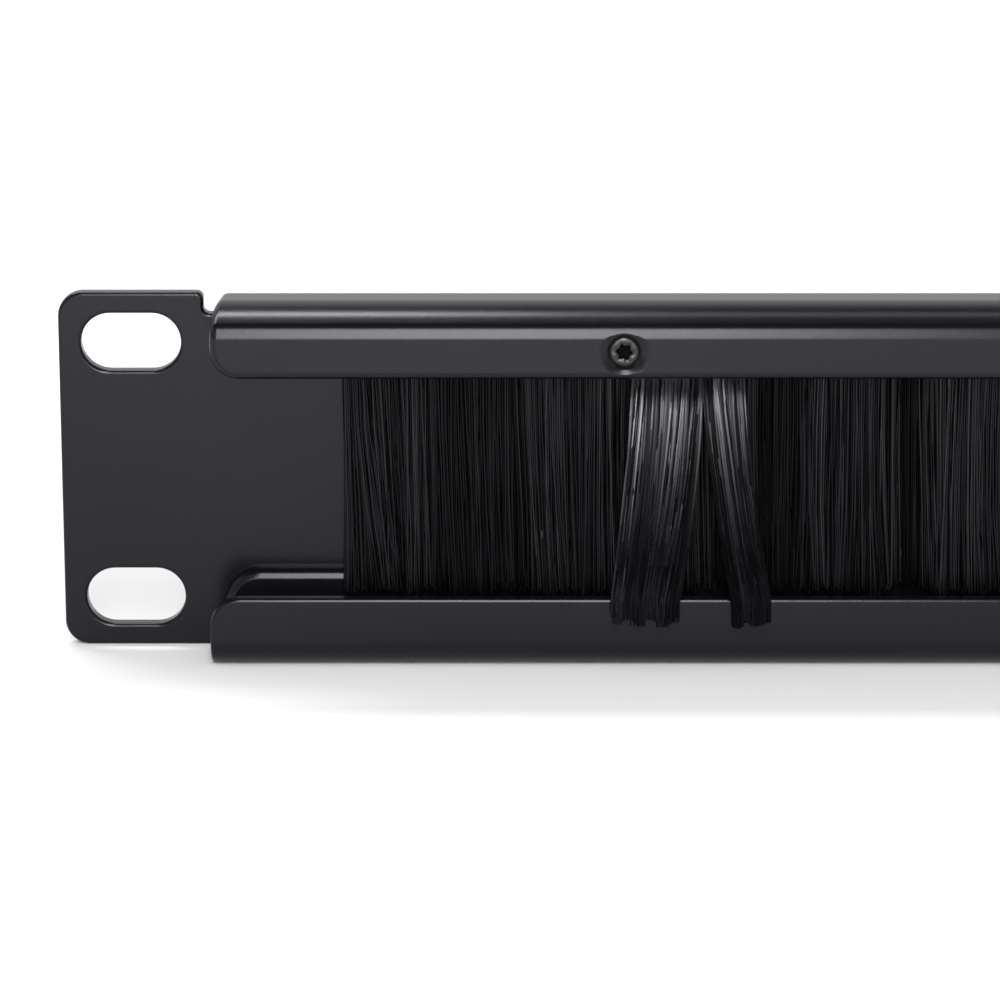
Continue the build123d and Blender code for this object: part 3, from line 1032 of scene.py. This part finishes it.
rear_ends = (rear_low.x, rear_high.x)
front_ends = (front_low.x, front_high.x)
row("rear_curtain", "rear_bristles", count=13600, sign=1, seed=11, ends=rear_ends, changes={
    "Radius": 0.17 * MM,
    "Segments": 2,
    "Clump Width": 1.3 * MM,
    "Clump Sway": 0.1 * MM,
    "Slow Sway": 1.0 * MM,
    "Bulge": 0.08 * MM,
})
row("front_curtain", "front_bristles", count=8600, sign=-1, seed=23, ends=front_ends, changes={
    "Radius": 0.16 * MM,
    "Empty Start X": LEFT_LOCK_ROOT[0],
    "Empty End X": RIGHT_LOCK_ROOT[1],
    "Thin Start X": THIN_PLACE[0],
    "Thin End X": THIN_PLACE[1],
    "Thin Share": 0.92,
    "Swept X": front_low.x + 3.0 * MM,
    "Swept Width": 4.0 * MM,
    "Swept Lean": 3.2 * MM,
})
lock(
    "left_tuft", "left_lock", count=1000, seed=31,
    root_x=LEFT_LOCK_ROOT, tip_x=LEFT_LOCK_TIP, bow_power=2.3,
)
lock(
    "right_tuft", "right_lock", count=620, seed=47,
    root_x=RIGHT_LOCK_ROOT, tip_x=RIGHT_LOCK_TIP, bow_power=1.8,
)


# Screws, planted by a node tree

def screw_mesh():
    """One countersunk screw with a six-lobe recess on the axis Y, its head at the origin facing -Y."""
    low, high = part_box("brush_screw_1")
    head_r = (high.x - low.x) / 2
    length = high.y - low.y
    shank_r = 1.0 * MM
    lobe_count, lobe_height = 6, 0.155
    sides = 72
    work = bmesh.new()
    recess_painted_shade = work.verts.layers.float.new("recess_painted_shade")

    def ring(radius, y, lobe_share=0.0):
        points = []
        for i in range(sides):
            angle = math.tau * i / sides
            r = radius * (1 + lobe_height * lobe_share * math.cos(lobe_count * angle))
            points.append(work.verts.new((r * math.sin(angle), y, r * math.cos(angle))))
        return points

    # From the bottom of the recess over the head to the end of the shank
    deep_rings = [
        ring(0.25 * MM, 0.9 * MM),
        ring(0.74 * MM, 0.8 * MM, 1.0),
        ring(0.82 * MM, 0.16 * MM, 1.0),
    ]
    outer_rings = [
        ring(0.86 * MM, 0.06 * MM, 1.0),
        ring(0.97 * MM, 0.0, 0.9),
        ring(head_r - 0.22 * MM, 0.0),
        ring(head_r - 0.07 * MM, 0.05 * MM),
        ring(head_r, 0.14 * MM),
        ring(head_r - 0.06 * MM, 0.22 * MM),
        ring(shank_r, head_r - shank_r),
        ring(shank_r, length - 0.2 * MM),
        ring(shank_r - 0.2 * MM, length),
    ]
    # The points down in the recess are marked for the painted shade that takes their specular level away
    for deep_ring in deep_rings:
        for vert in deep_ring:
            vert[recess_painted_shade] = 1.0
    rings = deep_rings + outer_rings
    join_rings(work, rings)
    work.faces.new(rings[0])
    work.faces.new(rings[-1])
    bmesh.ops.recalc_face_normals(work, faces=work.faces)
    for face in work.faces:
        face.smooth = True
    for edge in work.edges:
        edge.smooth = edge.calc_face_angle(math.pi) < math.radians(SHARP_DEGREES)
    mesh = bpy.data.meshes.new("screw_form")
    work.to_mesh(mesh)
    work.free()
    place = Vector(((low.x + high.x) / 2, low.y, (low.z + high.z) / 2))
    return bpy.data.objects.new("screw_form", mesh), place


SCREW_INPUTS = [
    ("Count", "NodeSocketInt", 4),
    ("First Place", "NodeSocketVector", None),
    ("Spacing", "NodeSocketVector", None),
    ("Screw", "NodeSocketObject", None),
    ("Seed", "NodeSocketInt", 0),
    ("Material", "NodeSocketMaterial", None),
]


def screw_tree():
    """The same screw at even steps along the hood, each turned by its own angle."""
    tree, given, out = new_group(
        "Brush Screws", "GeometryNodeTree", SCREW_INPUTS, [("Geometry", "NodeSocketGeometry")]
    )
    get = given.outputs
    line = add_node(tree, "GeometryNodeMeshLine", mode="OFFSET")
    join(tree, get["Count"], line, "Count")
    join(tree, get["First Place"], line, "Start Location")
    join(tree, get["Spacing"], line, "Offset")
    source = add_node(tree, "GeometryNodeObjectInfo")
    join(tree, get["Screw"], source, "Object")
    planted = add_node(tree, "GeometryNodeInstanceOnPoints")
    join(tree, line, planted, "Points")
    join(tree, source.outputs["Geometry"], planted, "Instance")
    join(tree, combine(tree, 0.0, chance(tree, 0.0, 1.0, get["Seed"], 1), 0.0), planted, "Rotation")
    real = add_node(tree, "GeometryNodeRealizeInstances")
    join(tree, planted, real, "Geometry")
    painted = add_node(tree, "GeometryNodeSetMaterial")
    join(tree, real, painted, "Geometry")
    join(tree, get["Material"], painted, "Material")
    join(tree, painted, out, "Geometry")
    return tree


SCREW_COUNT = 4
screw_form, first_screw = screw_mesh()
last_low, last_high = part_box("brush_screw_4")
screw_step = ((last_low.x + last_high.x) / 2 - first_screw.x) / (SCREW_COUNT - 1)
grown_piece(
    "brush_screws",
    screw_tree(),
    {
        "Count": SCREW_COUNT,
        "First Place": tuple(first_screw),
        "Spacing": (screw_step, 0.0, 0.0),
        "Screw": screw_form,
        "Seed": 5,
        "Material": screw_metal,
    },
    ["brush_screw_1", "brush_screw_2", "brush_screw_3", "brush_screw_4"],
)
bpy.data.objects.remove(screw_form)


# Floor, light and camera

def floor_piece():
    """A wide white floor that keeps the contact shadow."""
    half = 6.0
    # The lift to white starts and is full this far in front of the panel and behind it
    lift_range = (0.04, 0.2)
    mesh = bpy.data.meshes.new("floor")
    z = cad_low.z
    corners = [(-half, -half, z), (half, -half, z), (half, half, z), (-half, half, z)]
    mesh.from_pydata(corners, [], [(0, 1, 2, 3)])
    floor = new_object("floor", mesh)
    material = bpy.data.materials.new("White Floor")
    tree = empty_tree(material)
    matte = add_node(tree, "ShaderNodeBsdfDiffuse", {"Color": (0.80, 0.80, 0.805, 1.0)})
    lift = add_node(tree, "ShaderNodeEmission", {"Color": (0.32, 0.32, 0.322, 1.0)})
    rays = add_node(tree, "ShaderNodeLightPath").outputs
    seen = math_node(tree, "MAXIMUM", rays["Is Camera Ray"], rays["Is Glossy Ray"])
    seen = math_node(tree, "MAXIMUM", seen, rays["Is Transmission Ray"])
    _, y, _ = split(tree, add_node(tree, "ShaderNodeTexCoord").outputs["Object"])
    far = map_range(tree, math_node(tree, "ABSOLUTE", y), lift_range, smooth=True)
    join(tree, math_node(tree, "MULTIPLY", seen, far), lift, "Strength")
    lifted = add_node(tree, "ShaderNodeAddShader")
    join(tree, matte, lifted, 0)
    join(tree, lift, lifted, 1)
    out = add_node(tree, "ShaderNodeOutputMaterial")
    join(tree, lifted, out, "Surface")
    mesh.materials.append(material)


def world_light():
    """White for the camera, an even dome for matte surfaces, and a studio with pale walls for gloss."""
    world = bpy.data.worlds.new("Studio")
    bpy.context.scene.world = world
    tree = empty_tree(world)
    _, y, z = split(tree, add_node(tree, "ShaderNodeTexCoord").outputs["Generated"])
    # The walls are white up to an elevation of 37 degrees, and the one behind the camera is dimmer
    wall = map_range(tree, z, (0.60, 0.82), (1.0, 0.05), smooth=True)
    depth = map_range(tree, y, (-0.75, -0.1), (0.55, 0.88), smooth=True)
    studio = add_node(tree, "ShaderNodeBackground", {"Color": (1.0, 1.0, 1.0, 1.0)})
    join(tree, math_node(tree, "MULTIPLY", wall, depth), studio, "Strength")
    dome = add_node(tree, "ShaderNodeBackground", {"Color": (1.0, 1.0, 1.0, 1.0), "Strength": 0.7})
    white = add_node(tree, "ShaderNodeBackground", {"Color": (0.97, 0.97, 0.975, 1.0), "Strength": 1.0})
    rays = add_node(tree, "ShaderNodeLightPath")
    matte_or_gloss = add_node(tree, "ShaderNodeMixShader")
    join(tree, rays.outputs["Is Diffuse Ray"], matte_or_gloss, 0)
    join(tree, studio, matte_or_gloss, 1)
    join(tree, dome, matte_or_gloss, 2)
    blend = add_node(tree, "ShaderNodeMixShader")
    join(tree, rays.outputs["Is Camera Ray"], blend, 0)
    join(tree, matte_or_gloss, blend, 1)
    join(tree, white, blend, 2)
    out = add_node(tree, "ShaderNodeOutputWorld")
    join(tree, blend, out, "Surface")


def softbox(name, place, target, width, height, power):
    """A rectangular lamp that faces a target."""
    lamp = bpy.data.lights.new(name, "AREA")
    lamp.shape = "RECTANGLE"
    lamp.size = width
    lamp.size_y = height
    lamp.energy = power
    holder = new_object(name, lamp)
    holder.location = place
    holder.rotation_euler = (Vector(target) - Vector(place)).to_track_quat("-Z", "Y").to_euler()
    holder.visible_camera = False


def camera():
    """The photograph's view, fitted to the slots, the folds and the ends of the panel."""
    data = bpy.data.cameras.new("Camera")
    data.lens = 150.0
    data.sensor_width = 36.0
    data.clip_start = 0.01
    data.clip_end = 50.0
    holder = new_object("Camera", data)
    pitch = math.radians(14.24)
    distance = 506.9 * MM
    aim = Vector((-188.05 * MM, -2.0 * MM, -3.74 * MM))
    holder.location = aim + distance * Vector((0.0, -math.cos(pitch), math.sin(pitch)))
    holder.rotation_euler = (math.pi / 2 - pitch, 0.0, 0.0)
    bpy.context.scene.camera = holder


floor_piece()
world_light()
softbox("front_softbox", (-0.19, -0.80, 0.39), (-0.17, -0.006, 0.0), width=0.2, height=0.96, power=9.8)
softbox("rear_softbox", (-0.40, 0.27, 0.60), (-0.40, 0.0, 0.0), width=0.42, height=0.085, power=2.1)
softbox("rear_strip", (0.12, 0.26, 0.60), (0.12, 0.0, 0.0), width=0.62, height=0.08, power=0.4)
camera()
bpy.context.scene.view_settings.view_transform = "Standard"
